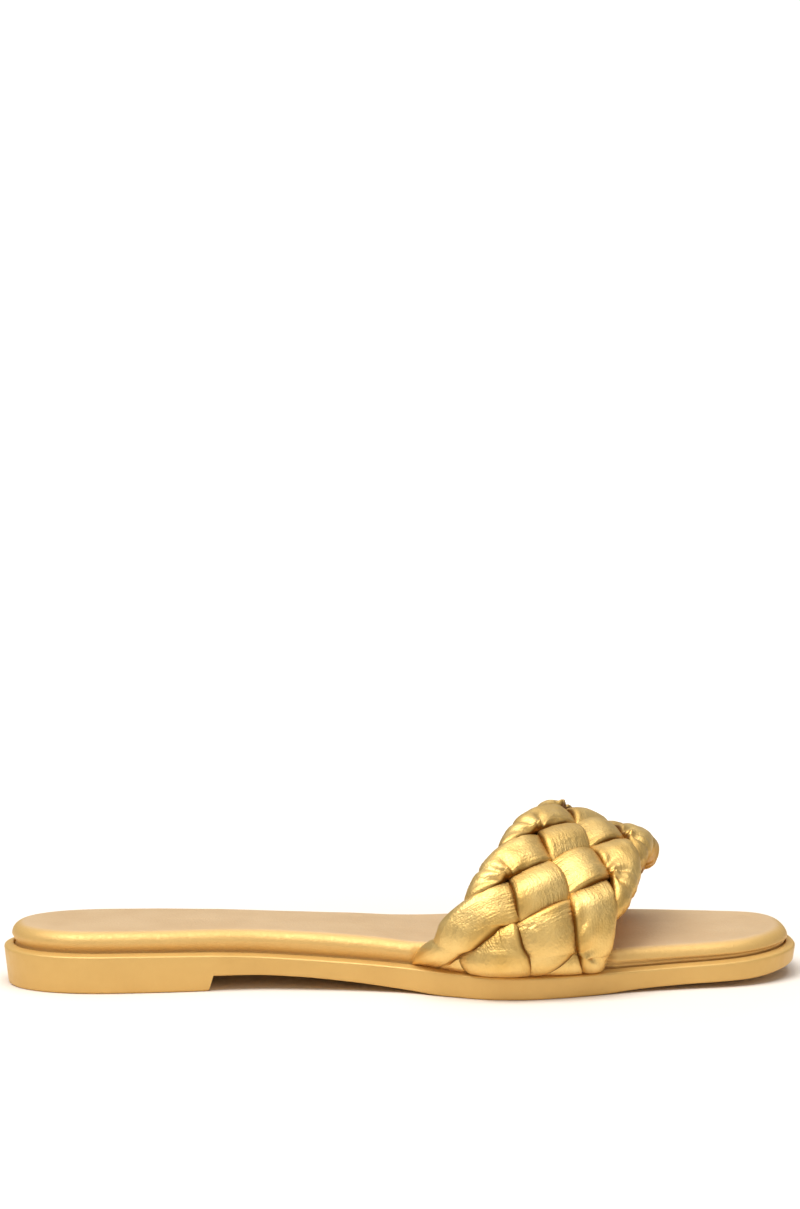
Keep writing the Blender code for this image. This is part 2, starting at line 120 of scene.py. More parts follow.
def hermite(places, values, tangent, wanted):
    i = np.clip(np.searchsorted(places, wanted, side="right") - 1, 0, len(places) - 2)
    step = places[i + 1] - places[i]
    t = (wanted - places[i]) / step
    start = (1 + 2 * t) * (1 - t) ** 2 * values[i] + t * (1 - t) ** 2 * step * tangent[i]
    end = t * t * (3 - 2 * t) * values[i + 1] + t * t * (t - 1) * step * tangent[i + 1]
    return start + end


def soleValue(name, x, size):
    places = table(sole["rows"], 0) * sole["length"]
    return flow(places, table(sole["rows"], soleColumn[name]) * size, x)


def rimHeight(x):
    return soleValue("rim", x, sole["heelHeight"])


def bedHeight(x):
    return soleValue("bed", x, sole["heelHeight"])


def underHeight(x):
    arch = soleValue("under", x, sole["heelHeight"])
    return arch * smooth((x - sole["breast"] * sole["length"]) / sole["breastStep"])


def halfWidth(x, name):
    wide = soleValue(name, x, sole["width"])
    heelLength, heelPower = sole["heelCap"]
    toeLength, toePower = sole["toeCap"]
    heel = np.clip((heelLength - x) / heelLength, 0, 1)
    toe = np.clip((x - sole["length"] + toeLength) / toeLength, 0, 1)
    return wide * (1 - heel ** heelPower) ** (1 / heelPower) * (1 - toe ** toePower) ** (1 / toePower)


def spineY(x):
    return (soleValue("inner", x, sole["width"]) - soleValue("outer", x, sole["width"])) / 2


def edgeY(x, side):
    return spineY(x) + side * (halfWidth(x, "outer") + halfWidth(x, "inner")) / 2


def soleOutline(count):
    # evenly spaced points round the sole, starting at the heel and going along the outer side
    turn = np.linspace(0, math.pi, sole["outlineSteps"])
    x = (1 - np.cos(turn)) / 2 * sole["length"]
    outer = np.stack([x, edgeY(x, -1)], axis=1)
    inner = np.stack([x, edgeY(x, 1)], axis=1)[-2::-1]
    path = np.concatenate([outer, inner])
    steps = np.linalg.norm(np.diff(path, axis=0), axis=1)
    length = np.concatenate([[0], np.cumsum(steps)])
    at = np.linspace(0, length[-1], count + 1)[:-1]
    return np.stack([np.interp(at, length, path[:, 0]), np.interp(at, length, path[:, 1])], axis=1)


def soleRing(outline, inset, z, share=1.0):
    # the outline moved inwards, then shrunk to a share of itself round the sole's spine
    along = np.roll(outline, -1, axis=0) - np.roll(outline, 1, axis=0)
    along /= np.linalg.norm(along, axis=1)[:, None]
    inward = np.stack([-along[:, 1], along[:, 0]], axis=1)
    flat = outline + inward * np.reshape(inset, (-1, 1))
    if share < 1:
        spineX = np.clip(outline[:, 0], sole["spineEnd"], sole["length"] - sole["spineEnd"])
        spine = np.stack([spineX, spineY(spineX)], axis=1)
        flat = spine + share * (flat - spine)
    return np.concatenate([flat, np.reshape(z, (-1, 1))], axis=1)


outlineY = soleOutline(720)[:, 1]
middle = (sole["length"] / 2, (outlineY.min() + outlineY.max()) / 2)


def centred(points):
    # the frame has its origin at the middle of the sole
    points = np.array(points, float)
    points[..., 0] -= middle[0]
    points[..., 1] -= middle[1]
    return points


def toObject(name, mesh):
    data = bpy.data.meshes.new(name)
    mesh.to_mesh(data)
    mesh.free()
    data.polygons.foreach_set("use_smooth", [True] * len(data.polygons))
    thing = bpy.data.objects.new(name, data)
    bpy.context.scene.collection.objects.link(thing)
    return thing


def tubeMesh(name, points, attributes=None):
    # a grid bent to rows of points, welded into a tube along its columns and closed at both ends
    rows, columns = points.shape[:2]
    mesh = bmesh.new()
    bmesh.ops.create_grid(mesh, x_segments=columns - 1, y_segments=rows - 1, size=1)
    layers = []
    for key, values in (attributes or {}).items():
        layers.append((mesh.verts.layers.float.new(key), np.asarray(values, float).reshape(-1)))
    spots = np.array([v.co[:2] for v in mesh.verts])
    column = np.rint((spots[:, 0] + 1) / 2 * (columns - 1)).astype(int)
    row = np.rint((spots[:, 1] + 1) / 2 * (rows - 1)).astype(int)
    flat = points.reshape(-1, 3)
    for vert, at in zip(mesh.verts, row * columns + column):
        vert.co = flat[at]
        for layer, values in layers:
            vert[layer] = values[at]
    first = {int(r): v for v, c, r in zip(mesh.verts, column, row) if c == 0}
    last = {int(r): v for v, c, r in zip(mesh.verts, column, row) if c == columns - 1}
    bmesh.ops.weld_verts(mesh, targetmap={last[r]: first[r] for r in first})
    bmesh.ops.holes_fill(mesh, edges=[e for e in mesh.edges if e.is_boundary], sides=0)
    bmesh.ops.dissolve_degenerate(mesh, dist=1e-7, edges=mesh.edges)
    bmesh.ops.recalc_face_normals(mesh, faces=mesh.faces)
    return toObject(name, mesh)


def stackRings(name, rings, attributes=None):
    points = centred(np.array(rings))
    points = np.concatenate([points, points[:, :1]], axis=1)
    return tubeMesh(name, points, attributes)


# Strap: the surface that the strands lie on, from its rear edge (-1) to its front edge (1).
# sections: turn over the foot from the outer side (0) to the inner side (1), then x, y and z of the rear
# edge and of the front edge, as shares of the sole's length, its half width there and the strap's height
# weave: turn over the foot, rows of the weave on the strap's middle line
strap = {
    "height": 0.0497,
    "sections": (
        (0.12, 0.537, -0.845, 0.430, 0.752, -0.895, 0.380),
        (0.24, 0.567, -0.750, 0.600, 0.776, -0.750, 0.520),
        (0.36, 0.594, -0.525, 0.790, 0.798, -0.430, 0.640),
        (0.48, 0.632, -0.200, 0.925, 0.813, -0.030, 0.690),
        (0.58, 0.664, 0.140, 0.945, 0.826, 0.260, 0.650),
        (0.68, 0.670, 0.400, 0.880, 0.828, 0.490, 0.560),
        (0.79, 0.656, 0.670, 0.680, 0.810, 0.690, 0.450),
        (0.89, 0.630, 0.880, 0.460, 0.797, 0.870, 0.350),
    ),
    "outerFoot": (0.508, 0.744),
    "innerFoot": (0.605, 0.790),
    "footParts": (-1.0, -0.5, 0.0, 0.25, 0.5, 0.75, 1.0),  # 0 at the rim's top, 1 at the footbed's
    "footTurn": 0.045,
    "footFit": 0.0003,
    "footSeat": 0.0006,
    "footBlend": 0.12,  # turn over which a foot becomes part of the strap
    "rearLean": 0.0030,
    "frontLean": 0.0008,
    "tab": 0.0016,
    "bow": 0.0014,  # swell of the middle over the edges
    "bowTurn": 0.24,
    "weave": (
        (-0.045, -0.04),
        (0.000, 0.18),
        (0.120, 0.49),
        (0.500, 2.545),
        (0.890, 4.655),
        (1.000, 4.98),
        (1.045, 5.20),
    ),
    "skew": (0.43, 0.55, 1.6),  # size, fade over the foot and power of the fade
    "tipRows": 0.40,
    "tipZone": ((0.22, 0.25), (-0.40, 0.60)),
    "turnRounds": 30,
    "turnSteps": 121,
    "breadthSteps": 61,
    "fineSteps": 700,
}


def inZone(turn, across, zone):
    # 1 low on the outer foot and near the rear edge; zone has end and border for turn and breadth
    return falling(turn, *zone[0]) * falling(across, *zone[1])


def footSpan(side):
    start, end = strap["outerFoot"] if side < 0 else strap["innerFoot"]
    return start * sole["length"], end * sole["length"]


def strapFoot(side, mix):
    # rows of points from below the rim to the footbed's top, between rim and footbed
    start, end = footSpan(side)
    nudge = 0.0001
    low = start + (end - start) * mix
    high = start + strap["rearLean"] + (end - start - strap["rearLean"] + strap["frontLean"]) * mix
    rows = []
    for part in strap["footParts"]:
        x = low + (high - low) * max(part, 0)
        slope = (edgeY(x + nudge, side) - edgeY(x - nudge, side)) / (2 * nudge)
        inset = (sole["rimWidth"] + strap["footFit"] + strap["tab"]) * np.sqrt(1 + slope ** 2)
        base = rimHeight(x) + strap["footSeat"]
        head = bedHeight(x) + strap["footFit"]
        rows.append(np.stack([x, edgeY(x, side) - side * inset, base + (head - base) * part], axis=1))
    return rows


def strapGrid():
    # lining points for turns from below the outer foot to below the inner foot
    across = np.linspace(-1, 1, strap["breadthSteps"])
    turns = np.linspace(0, 1, strap["turnSteps"])
    mix = (across + 1) / 2
    outerFoot = strapFoot(-1, mix)
    innerFoot = strapFoot(1, mix)
    first = outerFoot[-1]
    last = innerFoot[-1]
    rows = strap["sections"]
    knots = np.concatenate([[0], table(rows, 0), [1]])

    def path(at, size, start, end):
        values = np.concatenate([[start], table(rows, at) * size, [end]])
        return hermite(knots, values, np.gradient(values, knots), turns)[:, None]

    def share(row, at, name):
        return row[at, 1] / soleValue(name, row[at, 0], sole["width"])

    rearX = path(1, sole["length"], first[0, 0], last[0, 0])
    frontX = path(4, sole["length"], first[-1, 0], last[-1, 0])
    rearShare = path(2, 1.0, share(first, 0, "outer"), share(last, 0, "inner"))
    frontShare = path(5, 1.0, share(first, -1, "outer"), share(last, -1, "inner"))
    rearZ = path(3, strap["height"], first[0, 2], last[0, 2])
    frontZ = path(6, strap["height"], first[-1, 2], last[-1, 2])
    x = rearX * (1 - mix) + frontX * mix
    breadth = rearShare * (1 - mix) + frontShare * mix
    outerHalf = soleValue("outer", x, sole["width"])
    wide = np.where(breadth < 0, outerHalf, soleValue("inner", x, sole["width"]))
    full = np.stack([x, breadth * wide, rearZ * (1 - mix) + frontZ * mix], axis=2)
    nearFirst = np.clip(1 - turns / strap["footBlend"], 0, 1)[:, None, None]
    nearLast = np.clip(1 - (1 - turns) / strap["footBlend"], 0, 1)[:, None, None]
    full = full + nearFirst * (first - full[0]) + nearLast * (last - full[-1])
    allRows = np.concatenate([np.array(outerFoot[:-1]), full, np.array(innerFoot[:-1])[::-1]])
    footTurns = strap["footTurn"] * (1 - np.array(strap["footParts"][:-1]))
    allTurns = np.concatenate([-footTurns, turns, 1 + footTurns[::-1]])
    # normals point up over the foot and sideways at its two sides
    normal = np.cross(np.gradient(allRows, axis=1), np.gradient(allRows, axis=0))
    normal /= np.linalg.norm(normal, axis=2)[:, :, None]
    if normal[len(allTurns) // 2, len(across) // 2, 2] < 0:
        normal = -normal
    inside = np.minimum(allTurns, 1 - allTurns)
    upright = np.clip(1 - inside / strap["footBlend"], 0, 1)[:, None, None]
    sideways = np.zeros_like(normal)
    sideways[:, :, 1] = np.where(allTurns < 0.5, -1, 1)[:, None]
    normal = normal * (1 - upright) + sideways * upright
    normal /= np.linalg.norm(normal, axis=2)[:, :, None]
    bow = strap["bow"] * smooth(inside / strap["bowTurn"])[:, None] * (1 - across ** 2)
    return allTurns, across, centred(allRows + normal * bow[:, :, None]), normal


gridTurns, gridAcross, gridPoints, gridNormals = strapGrid()
fineTurns = np.linspace(gridTurns[0], gridTurns[-1], strap["fineSteps"])


def sample(turn, across, height):
    # point over the lining, with the breadth allowed to run past the edges a little
    row = np.interp(turn, gridTurns, np.arange(len(gridTurns)))
    held = np.clip(across, -1, 1)
    column = (held + 1) / 2 * (len(gridAcross) - 1)
    r = np.clip(row.astype(int), 0, len(gridTurns) - 2)
    c = np.clip(column.astype(int), 0, len(gridAcross) - 2)
    fr = (row - r)[..., None]
    fc = (column - c)[..., None]

    def mixed(grid):
        low = grid[r, c] * (1 - fc) + grid[r, c + 1] * fc
        high = grid[r + 1, c] * (1 - fc) + grid[r + 1, c + 1] * fc
        return low * (1 - fr) + high * fr

    point = mixed(gridPoints)
    normal = mixed(gridNormals)
    normal /= np.linalg.norm(normal, axis=-1)[..., None]
    side = gridPoints[r, -1] - gridPoints[r, 0]
    beyond = (across - held)[..., None] * 0.5
    return point + side * beyond + normal * height[..., None]


def slant(turn, across):
    # how far the rows run ahead towards the front edge, and round the rear tip of the outer foot
    size, fade, power = strap["skew"]
    skew = (size - fade * np.clip(turn, 0, None) ** power) * across
    return skew + strap["tipRows"] * inZone(turn, across, strap["tipZone"])


def turnOf(rows, across):
    # where on the way over the foot a row count is reached, in rounds since the slant hangs on the turn
    fine = weaveRows(fineTurns)
    turn = np.interp(rows, fine, fineTurns)
    for _ in range(strap["turnRounds"]):
        turn = np.interp(rows - slant(turn, across), fine, fineTurns)
    return turn


def weaveRows(turn):
    places = table(strap["weave"], 0)
    values = table(strap["weave"], 1)
    inside = flow(places, values, turn)
    startSlope = (values[1] - values[0]) / (places[1] - places[0])
    endSlope = (values[-1] - values[-2]) / (places[-1] - places[-2])
    before = np.minimum(turn - places[0], 0) * startSlope
    after = np.maximum(turn - places[-1], 0) * endSlope
    return inside + before + after


# Strands: p counts crossings along a strand, a runs over its width.
# a zone has end and border for the turn over the foot and for the breadth of the strap
strand = {
    "count": 5,
    "half": 0.0023,  # half thickness
    "wave": 1.24,  # rise of a crossing, in half thicknesses
    "lift": -0.0001,
    "rowSpan": (-1.3, 6.4),  # rows of the weave from the outer foot to the inner foot
    "halfWidth": 0.535,  # in crossings
    "edgeStop": 0.90,  # where the turns stop, share of the strap's half breadth
    "edgeDip": 0.09,
    "squeezeFrom": 0.6,
    "turnSize": 0.17,
    "alongSteps": 640,
    "acrossSteps": 48,
    "roundness": 3.1,
    "puffPower": 0.46,
    "unevenness": 0.10,
    "drift": 0.025,
    "edgeRidge": (0.15, 0.82, 0.11),  # height, place and width
    "tuckTurn": 0.030,  # turn over which a strand's end grows to its full thickness
    "tuckedShare": 0.04,
    "tipReach": 0.15,  # how far the rear tip of the outer foot runs out
    "tipZone": ((0.03, 0.075), (0.0, 0.9)),
    "thinTip": 0.55,
    "thinTipShade": 0.3,
    "thinZone": ((0.0, 0.05), (-0.45, 0.5)),
    "shownFoot": (0.07, 0.08),  # the feet keep the colour of a strand on top, free of the painted shade of a diving strand
    "endSpare": 0.004,
}
pleats = {
    "depth": 0.06,  # share of the strand's thickness
    "count": 88,
    "bend": 4,
    "creaseDepth": 0.05,
    "overFade": 1.15,
    "sideFade": 1.6,
}
# folds fan out from the inner corner of each turn at an edge, round a knob
folds = {
    "depth": 0.55,
    "place": 0.50,
    "rowSize": 1.3,  # a row counts this much more than the breadth
    "reach": (0.62, 0.45),  # end and border
    "core": 0.10,
    "behind": 0.15,
    "count": 7,
    "bend": 2.5,
    "sharpness": 1.5,
    "knob": 0.75,
    "knobSize": 0.060,
    "knobPlace": 0.12,
    "knobRows": 0.67,
    "calmZone": ((0.17, 0.10), (-0.15, 0.40)),
}
seeds = {"size": 7, "drift": 40, "pleatBend": 70, "pleatDepth": 90, "crease": 120, "fold": 150}


def waver(seed, *fields):
    # smooth hand-made unevenness, mostly between -1 and 1
    random = np.random.default_rng(seed)
    total = 0
    for _ in range(5):
        weights = random.normal(size=len(fields))
        start = random.uniform(0, 6.28)
        total = total + np.sin(sum(w * f for w, f in zip(weights, fields)) + start)
    return total / 3


def bothSides(top, under):
    # round a strand: over its top and back along its underside
    return np.concatenate([top, under[:, -2::-1]], axis=1)


def strandMiddle(number, p, a):
    # middle sheet of a strand: where it lies in the weave, and 1 on top to -1 below
    lap = 2 * strand["count"]
    phase = (p + a) / lap
    rows = (p - a) / 2 - number
    cycle = phase - np.floor(phase)
    across = 1 - 4 * np.abs(cycle - 0.5)
    rising = cycle < 0.5
    local = p - lap * np.floor(p / lap)
    front = lap / 2
    height = np.cos(math.pi * (local - 1))
    height = np.where(local > front - 0.5, np.cos(math.pi * (local - front - 1)), height)
    atFront = (local > front - 1) & (local < front + 1)
    height = np.where(atFront, np.where(rising, -1, 1), height)
    atRear = (local < 1) | (local > lap - 1)
    height = np.where(atRear, np.where(rising, 1, -1), height)
    height = height * quarterRound((1 - np.abs(across)) / strand["turnSize"])
    # squeeze the outer part so that the turns stop short of the strap's edge
    stop = strand["edgeStop"] - strand["edgeDip"] * np.clip(np.abs(2 * a), 0, 1) ** 3
    size = np.abs(across)
    calm = strand["squeezeFrom"]
    squeezed = np.where(size > calm, calm + (size - calm) * (stop - calm) / (1 - calm), size)
    return rows, np.sign(across) * squeezed, height


def edgeFolds(number, p, a, rows, across):
    # thickness beside a turn as a share of the plain strand's
    edgePhase = np.round((p + a) / strand["count"]) / 2
    offRows = rows - (strand["count"] * edgePhase - number)
    inner = np.abs(across) - folds["place"]
    angle = np.arctan2(offRows * folds["rowSize"], inner)
    distance = np.hypot(offRows * folds["rowSize"], inner)
    near = falling(distance, *folds["reach"]) * smooth(distance / folds["core"])
    near = near * (inner > -folds["behind"])
    bend = folds["bend"] * waver(seeds["fold"] + number, rows * 2, across * 2)
    fan = np.sin(angle * folds["count"] + bend + number)
    away = (offRows * folds["knobRows"]) ** 2 + (inner - folds["knobPlace"]) ** 2
    knob = np.exp(-away / folds["knobSize"] ** 2)
    return 1 - folds["depth"] * near * (0.5 - 0.5 * fan) ** folds["sharpness"] + folds["knob"] * knob


def pleatRelief(number, rows, a, share, height):
    # fine pleats along the strand where it goes from over to under, and creases all over
    bend = pleats["bend"] * waver(seeds["pleatBend"] + number, rows * 3, a * 4)
    depth = 0.6 + 0.4 * waver(seeds["pleatDepth"] + number, rows * 9, a * 6)
    crease = waver(seeds["crease"] + number, rows * 11, a * 9)
    inner = smooth(pleats["sideFade"] * (1 - share))
    going = smooth(pleats["overFade"] - np.abs(height))
    pleat = np.sin(a * pleats["count"] + bend) * depth * going
    return 1 + (pleats["depth"] * pleat + pleats["creaseDepth"] * crease) * inner


def buildStrand(number):
    start, end = strand["rowSpan"]
    p = np.linspace(2 * (start + number) - 1, 2 * (end + number) + 1, strand["alongSteps"] + 1)
    theta = np.linspace(-math.pi / 2, math.pi / 2, strand["acrossSteps"] + 1)
    pp, aa = np.meshgrid(p, np.sin(theta) * strand["halfWidth"], indexing="ij")
    rows, across, height = strandMiddle(number, pp, aa)
    rows = rows + strand["drift"] * waver(seeds["drift"] + number, rows * 2, across * 2)
    turn = turnOf(rows, across)
    across = across - strand["tipReach"] * inZone(turn, across, strand["tipZone"])
    height = height * strand["wave"]
    uneven = waver(seeds["size"] + number, rows * 3, across * 3)
    half = strand["half"] * (1 + strand["unevenness"] * uneven)
    # the ends are pressed flat between footbed and rim
    inside = np.minimum(turn, 1 - turn)
    thinTip = inZone(turn, across, strand["thinZone"])
    tuck = quarterRound((inside + strap["footTurn"]) / strand["tuckTurn"])
    tuck = tuck * (1 - strand["thinTip"] * thinTip)
    tuck = strand["tuckedShare"] + (1 - strand["tuckedShare"]) * tuck
    over = (strand["lift"] + 2 * strand["half"] + height * half) * tuck
    sheet = sample(turn, across, over)
    normal = np.cross(np.gradient(sheet, axis=0), np.gradient(sheet, axis=1))
    normal = normal / np.maximum(np.linalg.norm(normal, axis=2)[:, :, None], 1e-12)
    # thickness: full in the middle, with a ridge along each side, pleats, and folds at the turns
    share = np.abs(aa / strand["halfWidth"])
    ridge, ridgePlace, ridgeWidth = strand["edgeRidge"]
    puff = np.clip(1 - share ** strand["roundness"], 0, 1) ** strand["puffPower"]
    puff = puff * (1 + ridge * np.exp(-((share - ridgePlace) / ridgeWidth) ** 2))
    calm = 1 - inZone(turn, across, folds["calmZone"])
    folded = 1 + (edgeFolds(number, pp, aa, rows, across) - 1) * calm
    thick = (half * puff * pleatRelief(number, rows, aa, share, height) * folded * tuck)[:, :, None]
    tube = bothSides(sheet + normal * thick, sheet - normal * thick)
    # mask for the painted shade along the strand's sides and in its crevices, weaker at the thin rear tip
    shadeMask = share * (1 - strand["thinTipShade"] * thinTip)
    # how high the strand lies; it places the pleats and the painted shade where a strand dives
    shown = np.maximum(height, falling(inside, *strand["shownFoot"]))
    spare = strand["endSpare"]
    beyondStart = turn.max(axis=1) > gridTurns[0] + spare
    beforeEnd = turn.min(axis=1) < gridTurns[-1] - spare
    used = np.nonzero(beyondStart & beforeEnd)[0]
    span = slice(used[0], used[-1] + 1)
    facts = {"edge": shadeMask, "run": pp, "breadth": aa, "dive": shown}
    facts = {key: bothSides(values, values)[span] for key, values in facts.items()}
    return tubeMesh("strand" + str(number + 1), tube[span], facts)


print("strands")
strands = [buildStrand(number) for number in range(strand["count"])]


# Lining: a thin band just under the strands
lining = {"thickness": 0.0010, "margin": 0.86, "drop": 0.0014, "reach": 0.05, "steps": (150, 50)}


def buildLining():
    turnSteps, breadthSteps = lining["steps"]
    turns = np.linspace(-lining["reach"], 1 + lining["reach"], turnSteps)
    breadth = np.linspace(-lining["margin"], lining["margin"], breadthSteps)
    tt, vv = np.meshgrid(turns, breadth, indexing="ij")
    low = sample(tt, vv, np.full_like(tt, -lining["drop"]))
    high = sample(tt, vv, np.full_like(tt, lining["thickness"] - lining["drop"]))
    return tubeMesh("lining", np.concatenate([high, low[:, ::-1], high[:, :1]], axis=1))


print("lining")
liningPiece = buildLining()


# Footbed: board in the sole's tray, leather-covered, with a rounded upper edge.
# base: inset, height over the tray and share of the outline
# lip: inset and what the outer side adds towards the toe, height over the rim
footbed = {
    "gap": 0.0003,
    "trayDepth": 0.0018,
    "radius": 0.0038,
    "crown": 0.0001,
    "bulge": 0.0008,
    "base": (
        (0.0040, 0.0000, 0.02),
        (0.0008, 0.0000, 1.00),
        (0.0002, 0.0003, 1.00),
        (0.0000, 0.0008, 1.00),
    ),
    "lip": (
        (0.0006, 0.0000, 0.0001),
        (0.0004, -0.0004, 0.0004),
        (0.0002, -0.0002, 0.0010),
        (0.0000, 0.0010, 0.0013),
    ),
    "toeward": (0.165, 0.03),  # start from the heel, and length of the change
    "overLip": (0.0015, 0.0001),  # least height over the lip, and its climb from ring to ring
    "notch": 0.0020,  # depth beside the strap's feet
    "notchReach": 0.0040,
    "points": 420,
    "roundSteps": 12,
    "topRings": 16,
    "innerShare": 0.015,  # the last ring's share of the outline
}


def footNotch(x, side):
    # the footbed gives way where the strap goes down beside it
    start, end = footSpan(side)
    reach = footbed["notchReach"]
    low = (x - (start - reach)) / reach
    high = (end + reach - x) / reach
    return footbed["notch"] * smooth(np.minimum(low, high))


def buildFootbed():
    outline = soleOutline(footbed["points"])
    x = outline[:, 0]
    sides = np.where(np.arange(len(x)) <= len(x) // 2, -1, 1)
    notch = np.array([footNotch(place, side) for place, side in zip(x, sides)])
    edge = sole["rimWidth"] + footbed["gap"] + notch
    lip = rimHeight(x) + sole["rimRise"]
    tray = lip - footbed["trayDepth"] + footbed["gap"]
    top = bedHeight(x)
    rings = []
    for inset, rise, share in footbed["base"]:
        rings.append(soleRing(outline, edge + inset, tray + rise, share))
    toeStart, toeLength = footbed["toeward"]
    toeward = smooth((x - toeStart) / toeLength) * (sides < 0)
    for inset, more, rise in footbed["lip"]:
        rings.append(soleRing(outline, edge + inset + more * toeward, lip + rise))
    sideReflections = [1.0] * len(rings)
    bulge = footbed["bulge"] * (1 - notch / footbed["notch"])
    clear, climb = footbed["overLip"]
    steps = footbed["roundSteps"]
    for i in range(steps + 1):
        angle = math.pi / 2 * i / steps
        back = (footbed["radius"] + bulge) * (1 - math.cos(angle)) - bulge
        drop = footbed["radius"] * (1 - math.sin(angle)) + footbed["crown"]
        z = np.maximum(top - drop, lip + clear + climb * i)
        rings.append(soleRing(outline, edge + back, z))
        sideReflections.append(1 - (i / steps) ** 2)
    for i in range(1, footbed["topRings"] + 1):
        part = i / footbed["topRings"]
        share = 1 - part * (1 - footbed["innerShare"])
        ring = soleRing(outline, edge + footbed["radius"], top, share)
        ring[:, 2] = bedHeight(ring[:, 0]) - footbed["crown"] * (1 - part) ** 2
        rings.append(ring)
        sideReflections.append(0.0)
    # mask of the painted reflection: 1 up the side, fading over the rounding, 0 on the top
    sideReflection = np.repeat(np.array(sideReflections)[:, None], len(x) + 1, axis=1)
    return stackRings("footbed", rings, {"edge": sideReflection})


print("footbed")
footbedPiece = buildFootbed()


# Unit sole: one moulding with heel, tread, leaning wall, rim and tray.
# tray: inset, height over the rim and share of the outline
unitSole = {
    "points": 420,
    "draft": 0.10,  # lean of the wall, share of its height
    "treadShares": (0.02, 0.3, 0.6, 0.85),
    "treadRound": 0.0009,
    "treadSteps": 4,
    "wallParts": (0.2, 0.4, 0.6, 0.8),
    "rimRound": 0.0008,
    "rimSteps": 5,
    "tray": (
        (0.0026, 0.0006, 1.00),
        (0.0029, 0.0006, 1.00),
        (0.0030, 0.0003, 1.00),
        (0.0030, -0.0012, 1.00),
        (0.0032, -0.0014, 1.00),
        (0.0000, -0.0014, 0.50),
        (0.0000, -0.0014, 0.02),
    ),
}


def buildSole():
    outline = soleOutline(unitSole["points"])
    under = underHeight(outline[:, 0])
    rim = rimHeight(outline[:, 0])
    draft = unitSole["draft"] * (rim - under)
    tread = unitSole["treadRound"]
    rings = [soleRing(outline, 0, under, share) for share in unitSole["treadShares"]]
    for angle in np.linspace(0, math.pi / 2, unitSole["treadSteps"] + 1):
        inset = draft + tread * (1 - math.sin(angle))
        rings.append(soleRing(outline, inset, under + tread * (1 - math.cos(angle))))
    for part in unitSole["wallParts"]:
        z = under + tread + (rim - under - 2 * tread) * part
        rings.append(soleRing(outline, draft * (1 - part), z))
    for angle in np.linspace(0, math.pi / 2, unitSole["rimSteps"] + 1):
        inset = unitSole["rimRound"] * (1 - math.cos(angle))
        rings.append(soleRing(outline, inset, rim - unitSole["rimRound"] * (1 - math.sin(angle))))
    for inset, rise, share in unitSole["tray"]:
        rings.append(soleRing(outline, inset, rim + rise, share))
    return stackRings("unitSole", rings)


print("sole")
solePiece = buildSole()


# Materials: colours in light and dark patches, grain in pebbles a metre, depth of the relief in metres,
# streaks and pleats as shares of that depth, stretch of the streaks' pattern
finishes = {
    "braid": {
        "light": (0.90, 0.63, 0.235),
        "dark": (0.80, 0.51, 0.15),
        "deep": (0.62, 0.35, 0.075),  # painted shade where a strand dives under the next and along its sides
        "creviceShade": (0.20, 0.08, 0.007),  # painted shade in the crevice between strands
        "roughness": 0.45,
        "metallic": 0.88,
        "grain": 1500,
        "depth": 0.00014,
        "streaks": 1.0,
        "stretch": (3.0, 26, 1),
        "pleats": 3.0,
        "pleatStretch": (0.7, 15, 1),
    },
    "lining": {
        "light": (0.62, 0.38, 0.13),
        "dark": (0.52, 0.30, 0.09),
        "roughness": 0.55,
        "metallic": 0.40,
        "grain": 1500,
        "depth": 0.00008,
        "streaks": 0.8,
        "stretch": (900, 900, 90),
    },
    "footbed": {
        "light": (0.80, 0.56, 0.31),
        "dark": (0.75, 0.51, 0.27),
        "sideReflection": (0.78, 0.49, 0.16),  # painted reflection: the same leather shown deeper gold over the rounded edge
        "roughness": 0.50,
        "metallic": 0.40,
        "grain": 1600,
        "depth": 0.00010,
        "streaks": 0.8,
        "stretch": (900, 900, 90),
    },
    "rubber": {
        "light": (0.76, 0.475, 0.145),
        "dark": (0.72, 0.44, 0.13),
        "roughness": 0.46,
        "metallic": 0.30,
        "grain": 900,
        "depth": 0.00006,
        "streaks": 0.8,
        "stretch": (900, 900, 90),
    },
}
# one grain for all finishes, in shares of its depth
grainLook = {
    "patchScale": 60,
    "patchStops": (0.32, 0.62),  # where the dark colour ends and the light one starts
    "pebbles": 0.7,
    "folds": 0.45,
    "foldScale": 0.45,  # share of the pebbles' number
    "foldSpread": (0.3, 0.7),
    "glossSpread": (-0.07, 0.09),  # what the folds add to the roughness
}
# pleats where a strand dives under the next; painted shade where it dives, along its sides, and darkest in
# the crevice between strands
strandLook = {
    "pleatDive": (1.0, 0.35),  # from and to: how high the strand lies
    "deepDive": (0.80, -0.20),
    "deepSides": (0.45, 0.95),  # from and to for the painted shade: share of the way to the strand's side
    "sideShadeShare": 0.50,
    "creviceShade": (0.86, 0.97),
}
sideReflectionSpread = (0.10, 0.75)  # share of the rounded edge over which the painted reflection's colour comes in


def addNode(tree, kind, **settings):
    node = tree.nodes.new("ShaderNode" + kind)
    for key, value in settings.items():
        setattr(node, key, value)
    return node


def feed(tree, socket, value):
    # a number or colour is set on the socket, an output is joined to it
    if isinstance(value, bpy.types.NodeSocket):
        tree.links.new(value, socket)
    else:
        socket.default_value = value


def mathNode(tree, operation, *values):
    node = addNode(tree, "Math", operation=operation)
    for socket, value in zip(node.inputs, values):
        feed(tree, socket, value)
    return node.outputs["Value"]


def noiseNode(tree, place, scale, detail, rough=0.5):
    node = addNode(tree, "TexNoise")
    given = {"Vector": place, "Scale": scale, "Detail": detail, "Roughness": rough}
    for name, value in given.items():
        feed(tree, node.inputs[name], value)
    return node.outputs["Fac"]


